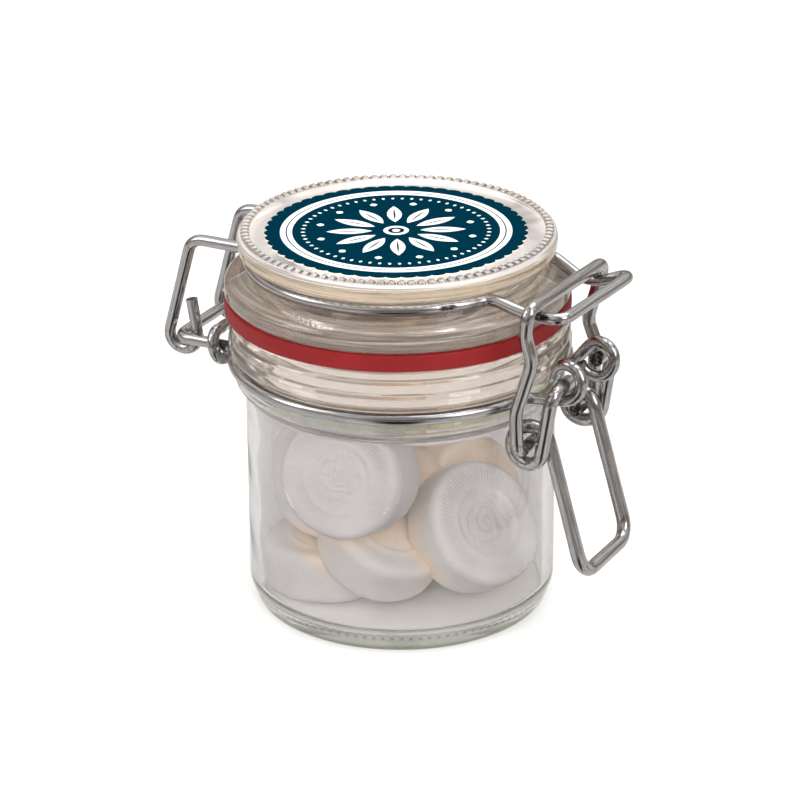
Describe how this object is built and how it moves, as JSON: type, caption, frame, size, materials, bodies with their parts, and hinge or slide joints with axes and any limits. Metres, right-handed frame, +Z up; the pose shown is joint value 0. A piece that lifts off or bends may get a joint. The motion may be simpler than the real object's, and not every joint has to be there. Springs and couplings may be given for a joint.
{
  "type": "small clip-top glass jar of large white mints",
  "caption": "Small clear glass jar with a clipped-down glass lid, red rubber seal, steel wire clasp and hinge, holding large round pressed mints.",
  "frame": {"origin": "centre of the jar's base, in the plane it stands on", "axes": "+Z up along the jar's axis, +X to the wire clasp, -X to the hinge"},
  "size_m": [0.0924, 0.0668, 0.0763],
  "materials": {
    "glass": "clear, faintly green where thick",
    "rubber": "matt red",
    "steel": "drawn wire, satin",
    "paper": "satin dark teal with white print",
    "sugar": "chalky white pressed sugar"
  },
  "bodies": {
    "root": {"jar": "glass", "lid": "glass", "seal": "rubber", "label": "paper", "lid_wire": "steel", "neck_wire": "steel", "back_wire": "steel", "lever": "steel", "bail": "steel", "mints": "sugar"}
  },
  "joints": []
}
